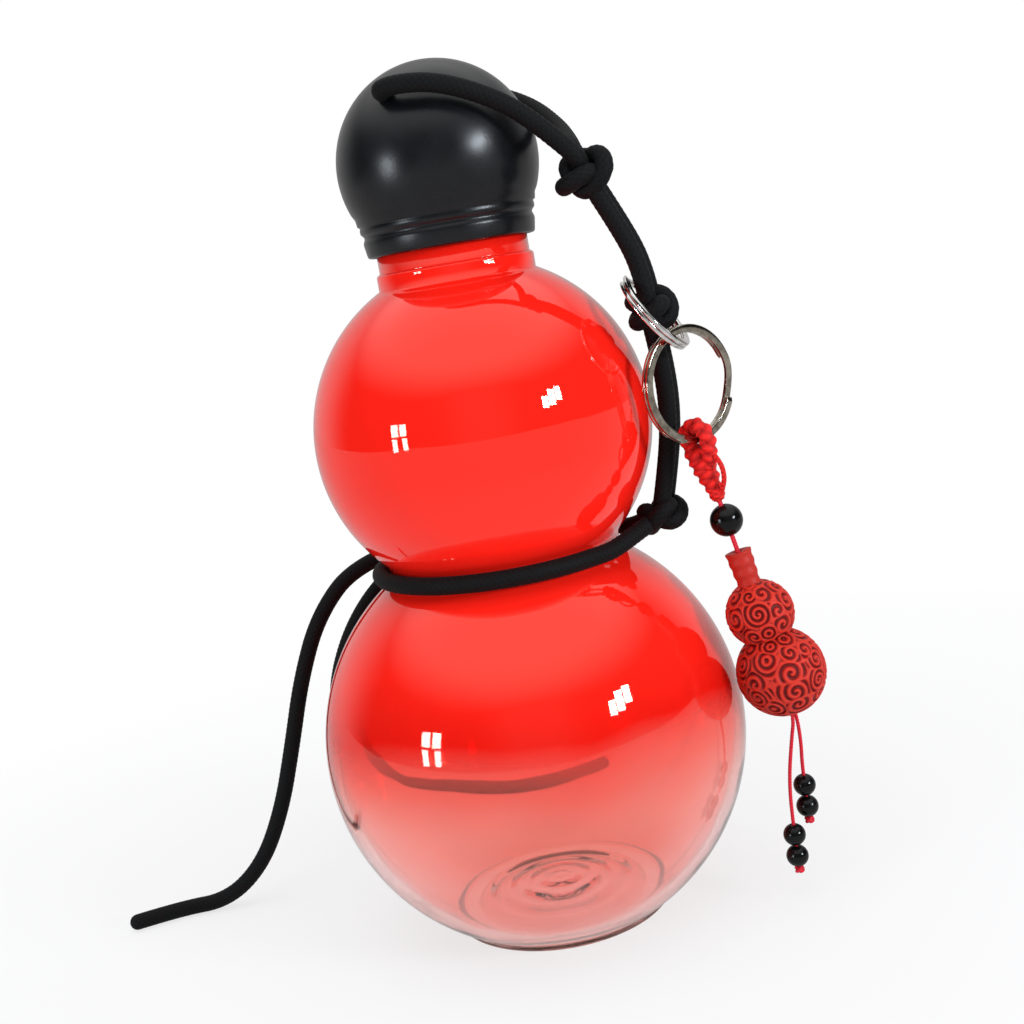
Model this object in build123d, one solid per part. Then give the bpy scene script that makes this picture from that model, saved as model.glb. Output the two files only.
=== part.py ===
from build123d import *
import math
import os

# Gourd water bottle: a two-bulb glass flask with a ball cap, a black cord harness that ties the cap
# to the waist, two split rings and a small carved gourd charm.
# Millimetres. The bottle's axis is Z, its foot stands on Z = 0 and the photographed side faces -Y.

# Glass flask
lower_bulb_radius = 60.9
upper_bulb_radius = 47.5
bulb_centre_height = 90.0
waist_fillet = 5.0
glass_wall = 3.0
heel_radius = 32.5
heel_round = 2.0
heel_face_height = 0.2
foot_ring_width = 4.5
punt_height = 3.5
base_thickness = 4.0
collar_radius = 22.0
collar_length = 4.5
collar_round = 0.6
neck_radius = 21.0
neck_length = 5.7
finish_radius = 19.7
finish_length = 13.0
lip_round = 0.9
mouth_radius = 17.0
inner_shoulder_fillet = 6.0

# Ball cap
dome_centre_height = 22.3
dome_wall = 1.9
dome_overhang = 3.65
dome_step_inset = 2.7
rim_drop = 1.0
rim_wall = 1.25
rim_round = 0.5
lower_band_height = 5.2
lower_band_flare = 0.6
band_groove_width = 0.9
band_groove_depth = 0.7
upper_band_height = 2.6
upper_band_step = 0.3
thread_room = 1.2
insert_wall = 1.2
insert_roof = 1.6
insert_neck_gap = 0.4
insert_fit = 0.05
gasket_thickness = 1.6
gasket_gap = 0.1
gasket_fit = 0.4
tunnel_centre_height = 18.3
tunnel_azimuth = 55.8
tunnel_wall = 1.3
tunnel_clearance = 0.4

# Cord, its knots and its routes
cord_diameter = 5.0
cord_glass_gap = 0.3
pair_gap = 0.3
knot_turn_radius = 4.5
knot_turn_diameter = 4.8
knot_turn_pitch = 4.2
knot_core_radius = 4.0
tether_knot_turns = 2
waist_knot_turns = 1
run_share = 0.45

cap_knot = (37.5, -20.0, 207.5)
cap_knot_lean_share = (0.434, 0.106, -0.894)
ring_knot = (49.7, -16.6, 169.5)
ring_knot_lean_share = (0.05, 0.05, -1.0)
waist_knot_lean_share = (0.2, 0.0, -1.0)
waist_knot_gap = 10.66
waist_knot_azimuth = -15.0
waist_knot_height = 5.49
back_knot_gap = 8.16
back_knot_azimuth = 125.0
waist_lead_length = 10.0

cap_cord_route = [
    (33.4, -23.4, 214.1), (27.5, -23.0, 220.8), (18.5, -24.6, 228.5), (4.0, -27.4, 235.2),
    (-8.0, -25.6, 236.8), (-13.6, -20.0, 235.6), (13.6, 20.0, 235.6), (20.8, 19.6, 234.6),
    (29.0, 11.0, 229.0), (33.6, -1.0, 222.0), (35.0, -11.2, 217.4), (35.1, -17.6, 214.9),
]
upper_tether_route = [(39.1, -19.6, 204.2), (45.3, -18.7, 191.2), (48.7, -17.6, 181.4), (49.4, -17.1, 174.9)]
lower_tether_route = [
    (49.8, -15.9, 165.8), (51.3, -12.7, 155.0), (51.6, -11.0, 142.0), (49.6, -10.6, 129.0),
    (45.8, -11.5, 115.9),
]
left_tail_route = [
    (-30.6, 35.2, 107.4), (-46.0, 32.0, 105.5), (-60.0, 30.0, 92.0), (-69.0, 29.5, 73.0),
    (-76.0, 30.5, 52.0), (-83.5, 32.5, 31.5), (-93.5, 35.0, 13.5), (-107.0, 37.0, 2.7),
    (-123.0, 36.5, 2.7), (-138.0, 31.0, 2.7),
]
back_tail_route = [
    (-27.8, 39.2, 105.4), (-40.0, 44.0, 96.5), (-51.5, 46.0, 84.0), (-60.0, 52.0, 68.0),
    (-65.0, 64.0, 51.0), (-67.0, 80.0, 34.0), (-65.0, 95.5, 18.5), (-58.0, 107.5, 6.5),
    (-45.0, 108.5, 2.7), (-29.5, 98.5, 2.7), (-12.0, 89.5, 2.7), (8.0, 90.0, 2.7), (26.0, 101.0, 2.7),
]

# Split rings
chain_azimuth = -19.9
small_ring_radius = 12.5
small_ring_distance = 53.6
small_ring_height = 168.6
small_ring_dip = 56.6
key_ring_radius = 16.0
key_ring_azimuth = 35.0
wire_width = 2.2
wire_thickness = 2.4
wire_round = 0.5
coil_slit = 0.3
coil_bridge_angle = 40.0
coil_end_gap = 0.8
link_gap = 1.35
quarter_turn = 90.0

# Charm
charm_tilt = 11.6
braid_diameter = 4.6
braid_half_width = 4.5
braid_height = 4.3
braid_bend = 3.9
braid_foot_half_width = 2.2
braid_length = 16.0
gather_radius = 3.2
gather_drop = 15.6
thread_diameter = 1.1
thread_half_width = 0.62
bead_radius = 4.5
bead_drop = 23.6
bore_clearance = 0.3
pendant_drop = 32.8
pendant_neck_radius = 3.7
pendant_neck_waist = 3.2
pendant_upper_radius = 9.4
pendant_upper_drop = 50.9
pendant_lower_radius = 12.3
pendant_lower_drop = 68.2
pendant_foot_drop = 79.4
small_bead_radius = 3.1
small_bead_gap = 0.1
stop_knot_radius = 1.3
right_bead_top = 32.2
left_bead_top = 19.8

# Routes of the two threads below the pendant: out from the bottle's axis, to the side, and height
right_thread_route = [(76.2, 1.2, 46.0), (75.2, 2.8, 37.0), (75.2, 2.8, 21.8)]
left_thread_route = [(73.8, -1.2, 46.0), (72.0, -2.0, 36.0), (71.4, -2.5, 25.0), (71.4, -2.5, 9.4)]

overrun = 2.0


def sphere_reach(radius, offset):
    """Half the chord of a circle at a distance from its centre."""
    return math.sqrt(radius**2 - offset**2)


# Heights and radii that follow from the sizes above, from the foot up
foot_inner_radius = heel_radius - heel_round - foot_ring_width
heel_top = heel_round + heel_face_height
lower_bulb_height = heel_top + sphere_reach(lower_bulb_radius, heel_radius)
upper_bulb_height = lower_bulb_height + bulb_centre_height
shoulder_height = upper_bulb_height + sphere_reach(upper_bulb_radius, collar_radius)
collar_top = shoulder_height + collar_length
neck_top = collar_top + neck_length
lip_top = neck_top + finish_length
rim_height = neck_top - rim_drop
insert_bore = finish_radius + thread_room
insert_radius = insert_bore + insert_wall
cap_bore = insert_radius + insert_fit
rim_radius = cap_bore + rim_wall
dome_radius = cap_bore + dome_wall + dome_overhang
dome_step_radius = dome_radius - dome_step_inset
dome_height = rim_height + dome_centre_height
tunnel_height = dome_height + tunnel_centre_height

os.makedirs("parts", exist_ok=True)


def bearing(azimuth):
    """The level unit vector at an azimuth."""
    return Vector(math.cos(math.radians(azimuth)), math.sin(math.radians(azimuth)), 0)


def polar(out, azimuth, height):
    """A place given by its distance from the bottle's axis, its azimuth and its height."""
    return bearing(azimuth) * out + Vector(0, 0, height)


def toward(start, end, distance):
    """The point at a distance from start on the way to end."""
    return start + (end - start).normalized() * distance


def arc_between(start, end, centre, radius):
    """The short arc from start to end about a centre."""
    middle = toward(centre, (start + end) * (1 / 2), radius)
    return ThreePointArc(start, middle, end)


def turned(edges):
    """A closed outline in the XZ plane, turned about Z."""
    return revolve(make_face(Wire(edges)), Axis.Z)


def outline(points):
    """Straight edges through points given as distance from the axis and height."""
    return [Line(Vector(a[0], 0, a[1]), Vector(b[0], 0, b[1])) for a, b in zip(points, points[1:])]


def save(name, shape):
    """Write one node's STEP file."""
    shape.label = name
    export_step(shape, f"parts/{name}.step")


def waist_centre():
    """Centre of the round hollow where the two bulbs meet, in the XZ plane."""
    spacing = upper_bulb_height - lower_bulb_height
    to_lower = lower_bulb_radius + waist_fillet
    to_upper = upper_bulb_radius + waist_fillet
    rise = (spacing**2 + to_lower**2 - to_upper**2) / (2 * spacing)
    return Vector(sphere_reach(to_lower, rise), 0, lower_bulb_height + rise)


def bulb_wall(inset, foot, shoulder):
    """The gourd's side from foot to shoulder, set in from the outer surface."""
    lower = Vector(0, 0, lower_bulb_height)
    upper = Vector(0, 0, upper_bulb_height)
    hollow = waist_centre()
    low_radius = lower_bulb_radius - inset
    high_radius = upper_bulb_radius - inset
    low_joint = toward(lower, hollow, low_radius)
    high_joint = toward(upper, hollow, high_radius)
    belly = lower + Vector(low_radius, 0, 0)
    chest = upper + Vector(high_radius, 0, 0)
    return [
        arc_between(foot, belly, lower, low_radius),
        arc_between(belly, low_joint, lower, low_radius),
        arc_between(low_joint, high_joint, hollow, waist_fillet + inset),
        arc_between(high_joint, chest, upper, high_radius),
        arc_between(chest, shoulder, upper, high_radius),
    ]


def flask_outside():
    """Edges of the flask's outside from the foot ring to the lip."""
    heel = Vector(heel_radius, 0, heel_top)
    shoulder = Vector(collar_radius, 0, shoulder_height)
    round_centre = Vector(heel_radius - heel_round, 0, heel_round)
    round_end = Vector(heel_radius, 0, heel_round)
    round_start = Vector(heel_radius - heel_round, 0, 0)
    lip_centre = Vector(finish_radius - lip_round, 0, lip_top - lip_round)
    lip_side = lip_centre + Vector(lip_round, 0, 0)
    lip_end = lip_centre + Vector(0, 0, lip_round)
    collar_centre = Vector(collar_radius - collar_round, 0, collar_top - collar_round)
    collar_side = collar_centre + Vector(collar_round, 0, 0)
    collar_end = collar_centre + Vector(0, 0, collar_round)
    edges = [
        Line(Vector(foot_inner_radius, 0, 0), round_start),
        arc_between(round_start, round_end, round_centre, heel_round),
        Line(round_end, heel),
    ]
    edges += bulb_wall(0, heel, shoulder)
    edges += [Line(shoulder, collar_side), arc_between(collar_side, collar_end, collar_centre, collar_round)]
    edges += outline([
        (collar_end.X, collar_end.Z), (neck_radius, collar_top), (neck_radius, neck_top),
        (finish_radius, neck_top), (lip_side.X, lip_side.Z),
    ])
    edges += [arc_between(lip_side, lip_end, lip_centre, lip_round)]
    return edges, lip_end


def flask_inside(lip_end):
    """Edges of the flask's inside from the lip down to the middle of its floor."""
    upper = Vector(0, 0, upper_bulb_height)
    inner_upper = upper_bulb_radius - glass_wall
    reach = mouth_radius + inner_shoulder_fillet
    round_rise = sphere_reach(inner_upper + inner_shoulder_fillet, reach)
    round_centre = Vector(reach, 0, upper_bulb_height + round_rise)
    neck_end = Vector(mouth_radius, 0, round_centre.Z)
    shoulder = toward(upper, round_centre, inner_upper)
    floor_middle = Vector(0, 0, punt_height + base_thickness)
    floor_edge_radius = heel_radius - glass_wall
    inner_lower = lower_bulb_radius - glass_wall
    floor_edge_height = lower_bulb_height - sphere_reach(inner_lower, floor_edge_radius)
    floor_edge = Vector(floor_edge_radius, 0, floor_edge_height)
    wall = bulb_wall(glass_wall, floor_edge, shoulder)
    mouth = Vector(mouth_radius, 0, lip_top)
    edges = [
        Line(lip_end, mouth),
        Line(mouth, neck_end),
        arc_between(neck_end, shoulder, round_centre, inner_shoulder_fillet),
    ]
    edges += wall[::-1]
    edges += [shallow_arc(floor_edge, floor_middle)]
    return edges, floor_middle


def shallow_arc(edge, crown):
    """An arc from the rim of a shallow dome to its crown on the axis."""
    rise = crown.Z - edge.Z
    radius = (edge.X**2 + rise**2) / (2 * rise)
    centre = crown - Vector(0, 0, radius)
    return arc_between(edge, crown, centre, radius)


def blown_flask():
    """The whole flask: foot ring, raised base, two bulbs, collar, neck and lip."""
    outside, lip_end = flask_outside()
    inside, floor_middle = flask_inside(lip_end)
    punt_crown = Vector(0, 0, punt_height)
    foot = Vector(foot_inner_radius, 0, 0)
    base = [Line(floor_middle, punt_crown), shallow_arc(foot, punt_crown)]
    return turned(outside + inside + base)


def slice_between(shape, low, high):
    """The part of a shape between two heights."""
    room = lower_bulb_radius + overrun
    slab = Cylinder(room, high - low, align=(Align.CENTER, Align.CENTER, Align.MIN))
    return shape & Pos(0, 0, low) * slab


def save_flask():
    """The flask in three pieces that meet at its waist and under its collar, each with a simple hollow."""
    whole = blown_flask()
    waist = waist_centre().Z
    save("flask_lower_bulb", slice_between(whole, 0, waist))
    save("flask_upper_bulb", slice_between(whole, waist, shoulder_height))
    save("flask_neck", slice_between(whole, shoulder_height, lip_top))


def cap_shell():
    """The hollow ball cap with a banded skirt and a tunnel for the cord."""
    band_top = rim_height + lower_band_height
    groove_top = band_top + band_groove_width
    upper_top = groove_top + upper_band_height
    band_radius = rim_radius + lower_band_flare
    upper_radius = band_radius + upper_band_step
    step = Vector(dome_step_radius, 0, dome_height - sphere_reach(dome_radius, dome_step_radius))
    crown = Vector(0, 0, dome_height + dome_radius)
    side = Vector(dome_radius, 0, dome_height)
    centre = Vector(0, 0, dome_height)
    inner_radius = dome_radius - dome_wall
    inner_edge = Vector(cap_bore, 0, dome_height + sphere_reach(inner_radius, cap_bore))
    inner_crown = Vector(0, 0, dome_height + inner_radius)
    edges = outline([
        (cap_bore, rim_height), (rim_radius - rim_round, rim_height), (rim_radius, rim_height + rim_round),
        (band_radius, band_top), (band_radius - band_groove_depth, band_top),
        (band_radius - band_groove_depth, groove_top), (upper_radius, groove_top),
        (upper_radius, upper_top), (step.X, step.Z),
    ])
    edges += [arc_between(step, side, centre, dome_radius), arc_between(side, crown, centre, dome_radius)]
    edges += [Line(crown, inner_crown), arc_between(inner_edge, inner_crown, centre, inner_radius)]
    edges += [Line(inner_edge, Vector(cap_bore, 0, rim_height))]
    shell = turned(edges)
    tunnel = Plane(origin=(0, 0, tunnel_height), z_dir=bearing(tunnel_azimuth)).location
    bore = cord_diameter / 2 + tunnel_clearance
    length = 2 * dome_radius
    ball = Pos(0, 0, dome_height) * Sphere(dome_radius - dome_wall / 2)
    sleeve = tunnel * Cylinder(bore + tunnel_wall, length)
    return shell + (sleeve & ball) - tunnel * Cylinder(bore, length + overrun)


def cap_insert():
    """The threaded cup pressed into the cap, which holds the sealing disc."""
    low = neck_top + insert_neck_gap
    under_roof = lip_top + gasket_gap + gasket_thickness
    top = under_roof + insert_roof
    cup = Pos(0, 0, low) * Cylinder(insert_radius, top - low, align=(Align.CENTER, Align.CENTER, Align.MIN))
    hollow = Cylinder(insert_bore, under_roof - low + overrun, align=(Align.CENTER, Align.CENTER, Align.MIN))
    return cup - Pos(0, 0, low - overrun) * hollow


def cap_gasket():
    """The silicone sealing disc between the insert's roof and the glass lip."""
    radius = insert_bore - gasket_fit
    disc = Cylinder(radius, gasket_thickness, align=(Align.CENTER, Align.CENTER, Align.MIN))
    return Pos(0, 0, lip_top + gasket_gap) * disc


def bend_radii(points, name):
    """As large a bend at each corner as its two runs allow; prints the list."""
    radii = []
    for before, corner, after in zip(points, points[1:], points[2:]):
        turn = (corner - before).get_angle(after - corner)
        shorter = min((corner - before).length, (after - corner).length)
        radii.append(run_share * shorter / math.tan(math.radians(turn / 2)))
    print(name, "bend radii", [round(radius, 1) for radius in radii])
    return radii


def tube(path, diameter):
    """A round cord along a path."""
    start = Plane(origin=path @ 0, z_dir=path % 0)
    return sweep(start * Circle(diameter / 2), path=path)


def cord(route, diameter, name):
    """A cord of straight runs joined by tangent arcs."""
    points = [Vector(*point) for point in route]
    path = FilletPolyline(*points, radius=bend_radii(points, name))
    solid = tube(path, diameter)
    section = math.pi * diameter**2 / 4
    share = solid.volume / (section * path.length)
    print(name, "length", round(path.length, 1), "volume share", round(share, 4))
    return solid


def strand_pair(route, name):
    """Two strands of a doubled cord, side by side."""
    half = (cord_diameter + pair_gap) / 2
    aside = bearing(chain_azimuth).cross(Vector(0, 0, -1)) * half
    near = [Vector(*point) - aside for point in route]
    far = [Vector(*point) + aside for point in route]
    return cord(near, cord_diameter, name + "_near"), cord(far, cord_diameter, name + "_far")


def knot(centre, axis, turns):
    """A knot drawn tight: turns of the cord wrapped round a core."""
    height = knot_turn_pitch * (turns - 1)
    place = Plane(origin=centre, z_dir=Vector(*axis)).location
    body = Cylinder(knot_core_radius, height + knot_turn_diameter)
    for turn in range(turns):
        level = knot_turn_pitch * turn - height / 2
        body += Pos(0, 0, level) * Torus(knot_turn_radius, knot_turn_diameter / 2)
    return place * body


def waist_loop_radius():
    """Radius of the cord's centre line where it lies in the waist."""
    return waist_centre().X - waist_fillet + cord_diameter / 2 + cord_glass_gap


def waist_strand(knot_azimuth, knot_place, other_azimuth, other_place, side):
    """A strand round the waist that leaves it on a tangent to a knot at each end."""
    radius = waist_loop_radius()
    level = waist_centre().Z
    first_lean = math.degrees(math.acos(radius / Vector(knot_place.X, knot_place.Y).length))
    last_lean = math.degrees(math.acos(radius / Vector(other_place.X, other_place.Y).length))
    first = knot_azimuth + side * first_lean
    last = other_azimuth - side * last_lean
    arc = CenterArc((0, 0, level), radius, first, last - first)
    start = arc @ 0
    lead = toward(start, start - (arc % 0), waist_lead_length)
    end = other_place - (other_place - (arc @ 1)).normalized() * knot_core_radius
    begin = toward(knot_place, lead, knot_core_radius)
    corner = (lead - begin).get_angle(start - lead)
    rise = run_share * waist_lead_length / math.tan(math.radians(corner / 2))
    entry = FilletPolyline(begin, lead, start, radius=rise)
    return tube(Wire(entry.edges() + [arc.edge(), Line(arc @ 1, end).edge()]), cord_diameter)


def split_ring(radius):
    """A flat wire wound twice: two coils joined where the wire steps across, each with a cut end."""
    middle = radius - wire_width / 2
    section = Plane.XZ * Pos(middle, 0) * RectangleRounded(wire_width, wire_thickness, wire_round)
    ring = revolve(section, Axis.Z)
    slit_face = Plane.XZ * Pos(middle, 0) * Rectangle(wire_width + overrun, coil_slit)
    ring -= Rot(0, 0, coil_bridge_angle / 2) * revolve(slit_face, Axis.Z, 360 - coil_bridge_angle)
    cut = Box(wire_width + overrun, coil_end_gap, wire_thickness / 2 + overrun)
    lift = (wire_thickness / 2 + overrun) / 2
    for side in (-1, 1):
        ring -= Rot(0, 0, side * coil_bridge_angle / 2) * Pos(middle, 0, side * lift) * cut
    return ring


def small_ring_frame():
    """The small ring's centre, the way its far edge dips, and the way along its wire there."""
    along = Vector(0, 0, 1).cross(bearing(chain_azimuth))
    dip = math.radians(small_ring_dip)
    down = bearing(chain_azimuth) * math.cos(dip) - Vector(0, 0, math.sin(dip))
    return polar(small_ring_distance, chain_azimuth, small_ring_height), down, along


def small_ring():
    """The split ring that the cord runs through."""
    centre, down, along = small_ring_frame()
    place = Plane(origin=centre, x_dir=-down, z_dir=down.cross(along)).location
    return place * split_ring(small_ring_radius)


def link_wire():
    """The middle of the small ring's lowest wire, which carries the key ring."""
    centre, down, along = small_ring_frame()
    return centre + down * (small_ring_radius - wire_width / 2)


def key_ring_centre():
    """The key ring's centre, with its top wire just over the small ring's lowest wire."""
    dip = math.radians(small_ring_dip)
    wire_height = wire_width * math.sin(dip) + wire_thickness * math.cos(dip)
    lift = (wire_height + wire_width) / 2 + link_gap
    return link_wire() + Vector(0, 0, lift - key_ring_radius + wire_width / 2)


def key_ring():
    """The larger split ring that carries the charm."""
    level = bearing(key_ring_azimuth)
    place = Plane(origin=key_ring_centre(), x_dir=level, z_dir=level.cross(Vector(0, 0, 1))).location
    return place * split_ring(key_ring_radius)


def charm_frame():
    """The charm's own frame: its Z runs up its axis from the key ring's lowest wire."""
    tilt = math.radians(charm_tilt)
    outward = bearing(chain_azimuth) * math.cos(tilt) + Vector(0, 0, math.sin(tilt))
    up = Vector(0, 0, math.cos(tilt)) - bearing(chain_azimuth) * math.sin(tilt)
    origin = key_ring_centre() - Vector(0, 0, key_ring_radius - wire_width / 2)
    return Plane(origin=origin, x_dir=outward, z_dir=up)


def charm_loop():
    """The braided loop over the key ring, gathered at its foot."""
    path = Plane.XZ * FilletPolyline(
        (-braid_foot_half_width, -braid_length), (-braid_half_width, braid_height),
        (braid_half_width, braid_height), (braid_foot_half_width, -braid_length), radius=braid_bend,
    )
    gather = Pos(0, 0, -gather_drop) * Sphere(gather_radius)
    across_wire = Rot(0, 0, key_ring_azimuth - quarter_turn - chain_azimuth)
    return charm_frame().location * across_wire * (tube(path, braid_diameter) + gather)


def bored_ball(radius, bore):
    """A bead with its hole along Z."""
    return Sphere(radius) - Cylinder(bore, 2 * radius + overrun)


def charm_bead():
    """The black bead above the pendant."""
    bore = thread_half_width + thread_diameter / 2 + bore_clearance
    return charm_frame().location * Pos(0, 0, -bead_drop) * bored_ball(bead_radius, bore)


def charm_pendant():
    """The small gourd of the charm, bored for the threads."""
    upper = Vector(0, 0, -pendant_upper_drop)
    lower = Vector(0, 0, -pendant_lower_drop)
    spacing = pendant_lower_drop - pendant_upper_drop
    bore = thread_half_width + thread_diameter / 2 + bore_clearance
    below = (spacing**2 + pendant_upper_radius**2 - pendant_lower_radius**2) / (2 * spacing)
    waist = Vector(sphere_reach(pendant_upper_radius, below), 0, upper.Z - below)
    neck_rise = sphere_reach(pendant_upper_radius, pendant_neck_waist)
    neck_low = Vector(pendant_neck_waist, 0, upper.Z + neck_rise)
    foot_radius = sphere_reach(pendant_lower_radius, pendant_foot_drop - pendant_lower_drop)
    foot = Vector(foot_radius, 0, -pendant_foot_drop)
    side_upper = upper + Vector(pendant_upper_radius, 0, 0)
    side_lower = lower + Vector(pendant_lower_radius, 0, 0)
    edges = outline([
        (bore, -pendant_foot_drop), (bore, -pendant_drop), (pendant_neck_radius, -pendant_drop),
        (neck_low.X, neck_low.Z),
    ])
    edges += [
        arc_between(neck_low, side_upper, upper, pendant_upper_radius),
        arc_between(side_upper, waist, upper, pendant_upper_radius),
        arc_between(waist, side_lower, lower, pendant_lower_radius),
        arc_between(side_lower, foot, lower, pendant_lower_radius),
        Line(foot, Vector(bore, 0, -pendant_foot_drop)),
    ]
    return charm_frame().location * turned(edges)


def thread_place(point):
    """A thread's route point in the bottle's frame."""
    along = Vector(0, 0, 1).cross(bearing(chain_azimuth))
    return polar(point[0], chain_azimuth, point[2]) + along * point[1]


def thread_end(route):
    """Where a thread's last run ends, above its stop knot."""
    return thread_place(route[-1])


def charm_thread(route, side, name):
    """One thread, from the braid through bead and pendant to its own beads and stop knot."""
    frame = charm_frame()
    offset = side * thread_half_width
    top = frame.from_local_coords(Vector(0, offset, -gather_drop - gather_radius / 2))
    leave = frame.from_local_coords(Vector(0, offset, -pendant_foot_drop - small_bead_gap))
    points = [top, leave] + [thread_place(point) for point in route]
    stop = Pos(*thread_end(route)) * Sphere(stop_knot_radius)
    return cord(points, thread_diameter, name) + stop


def small_beads(route, top):
    """Two beads on the straight foot of a thread."""
    bore = thread_diameter / 2 + bore_clearance
    pitch = 2 * small_bead_radius + small_bead_gap
    foot = thread_end(route)
    bead = bored_ball(small_bead_radius, bore)
    beads = [Pos(foot.X, foot.Y, top - pitch * step) * bead for step in (0, 1)]
    return Compound(children=beads)


waist_height = waist_centre().Z
waist_knot_out = waist_loop_radius() + waist_knot_gap
waist_knot = polar(waist_knot_out, waist_knot_azimuth, waist_height + waist_knot_height)
back_knot = polar(waist_loop_radius() + back_knot_gap, back_knot_azimuth, waist_height)
upper_near, upper_far = strand_pair(upper_tether_route, "tether_upper")
lower_near, lower_far = strand_pair(lower_tether_route, "tether_lower")

save_flask()
save("cap_shell", cap_shell())
save("cap_insert", cap_insert())
save("cap_gasket", cap_gasket())
save("cap_cord", cord(cap_cord_route, cord_diameter, "cap_cord"))
save("cap_knot", knot(cap_knot, cap_knot_lean_share, tether_knot_turns))
save("tether_upper_near", upper_near)
save("tether_upper_far", upper_far)
save("ring_knot", knot(ring_knot, ring_knot_lean_share, tether_knot_turns))
save("tether_lower_near", lower_near)
save("tether_lower_far", lower_far)
save("waist_knot", knot(waist_knot, waist_knot_lean_share, waist_knot_turns))
front_end_azimuth = back_knot_azimuth - 360
save("waist_cord_front", waist_strand(waist_knot_azimuth, waist_knot, front_end_azimuth, back_knot, -1))
save("waist_cord_back", waist_strand(waist_knot_azimuth, waist_knot, back_knot_azimuth, back_knot, 1))
save("back_knot", knot(back_knot, bearing(back_knot_azimuth), waist_knot_turns))
save("left_tail", cord(left_tail_route, cord_diameter, "left_tail"))
save("back_tail", cord(back_tail_route, cord_diameter, "back_tail"))
save("small_ring", small_ring())
save("key_ring", key_ring())
save("charm_loop", charm_loop())
save("charm_bead", charm_bead())
save("charm_pendant", charm_pendant())
save("charm_thread_right", charm_thread(right_thread_route, 1, "charm_thread_right"))
save("charm_thread_left", charm_thread(left_thread_route, -1, "charm_thread_left"))
save("tassel_beads_right", small_beads(right_thread_route, right_bead_top))
save("tassel_beads_left", small_beads(left_thread_route, left_bead_top))
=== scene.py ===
from math import acos, asin, atan2, cos, degrees, hypot, pi, radians, sin, sqrt

import bpy
import numpy as np
from mathutils import Matrix, Quaternion, Vector


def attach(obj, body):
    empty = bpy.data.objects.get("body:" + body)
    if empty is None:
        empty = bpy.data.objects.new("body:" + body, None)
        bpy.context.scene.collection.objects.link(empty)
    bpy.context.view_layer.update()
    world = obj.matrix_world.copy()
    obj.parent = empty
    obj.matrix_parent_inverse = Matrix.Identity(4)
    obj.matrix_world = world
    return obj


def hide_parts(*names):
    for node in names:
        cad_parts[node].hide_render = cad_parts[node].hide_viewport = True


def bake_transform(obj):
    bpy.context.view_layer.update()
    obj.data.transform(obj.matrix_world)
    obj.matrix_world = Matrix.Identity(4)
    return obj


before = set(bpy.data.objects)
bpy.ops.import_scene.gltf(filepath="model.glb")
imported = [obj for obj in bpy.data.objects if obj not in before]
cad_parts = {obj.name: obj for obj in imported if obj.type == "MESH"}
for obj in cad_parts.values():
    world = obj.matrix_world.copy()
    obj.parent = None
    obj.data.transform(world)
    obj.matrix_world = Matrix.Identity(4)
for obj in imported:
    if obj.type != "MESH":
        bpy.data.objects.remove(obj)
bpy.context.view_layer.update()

# The scene is in metres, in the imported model's own frame: the foot stands on Z = 0 and the
# photographed side faces -Y. The object's sizes and places are written in millimetres.
MM = 0.001
UP = Vector((0, 0, 1))


def mm(*values):
    """A point given in millimetres."""
    return Vector(values) * MM


# Camera, fitted to the photograph, with its angles in radians
camera_place = mm(0, -400, 186.9)
camera_pitch, camera_yaw, camera_roll = 0.169, 0.010, -0.169
camera_lens, camera_sensor = 50.03, 36.0

# Glass flask
lower_radius, lower_height = 60.9, 53.703
upper_radius, upper_height = 47.5, 143.703
waist_fillet = 5.0
glass_wall = 3.0
heel_radius, heel_round, foot_inner_radius = 32.5, 2.0, 26.0
punt_rise, base_thickness = 3.5, 4.0
base_swirl, base_swirls = 0.35, 5
collar_radius, collar_round = 22.0, 0.9
neck_radius, finish_radius, lip_round, mouth_radius = 21.0, 19.7, 0.9, 17.0
collar_length, neck_length, finish_length = 4.5, 5.7, 13.0
finish_step, inner_shoulder_fillet = 0.4, 6.0
glass_thread_turns, glass_thread_lead, glass_thread_start = 1.6, 4.2, 3.2
glass_thread_rise, glass_thread_root, glass_thread_width = 0.85, -0.3, 1.7

# Length of the straight pieces that stand for a round
wall_step, shoulder_step, heel_step, lip_step = 1.4, 0.6, 0.4, 0.2
dome_step, dome_inner_step, pendant_step = 0.8, 1.2, 0.14

# Cap
cap_dome_radius, cap_rise, cap_wall = 27.7, 22.3, 1.9
insert_bore, insert_wall, insert_fit = 20.9, 1.2, 0.05
rim_wall, rim_overlap = 1.25, 1.0
band_height, groove_height, upper_band_height = 5.2, 0.9, 2.6
band_rise, upper_band_rise, skirt_top_radius = 0.6, 0.3, 25.0
tunnel_rise, tunnel_azimuth, tunnel_bore, tunnel_reach = 18.3, 55.8, 2.9, 40

# Cord
cord_radius = 2.5
cord_step = 0.3
pair_gap = 0.3
waist_rise_run = 10.0
cord_glass_gap = 0.3

# Knots. A form is the trefoil's radius, swing, height, stretch across and in depth, lean and turn.
cap_knot, cap_knot_axis = (37.5, -20.0, 207.5), (0.434, 0.106, -0.894)
cap_knot_form = (4.3, 1.3, 2.3, 1.2, 0.95, 30, 180)
ring_knot, ring_knot_axis = (49.7, -16.6, 169.5), (0.05, 0.05, -1.0)
ring_knot_form = (4.0, 1.2, 2.6, 1.0, 0.95, 26, 0)
waist_knot_out, waist_knot_azimuth, waist_knot_height = 46.5, -15.0, 113.0
waist_knot_axis, waist_knot_form = (0.2, 0.0, -1.0), (3.9, 1.2, 2.2, 1.0, 0.95, 0, 0)
back_knot_out, back_knot_azimuth = 44.0, 125.0
back_knot_form = (3.9, 1.2, 2.2, 1.0, 1.0, 0, 40)
knot_cord_share, knot_strand_share = 0.96, 0.995

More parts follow.
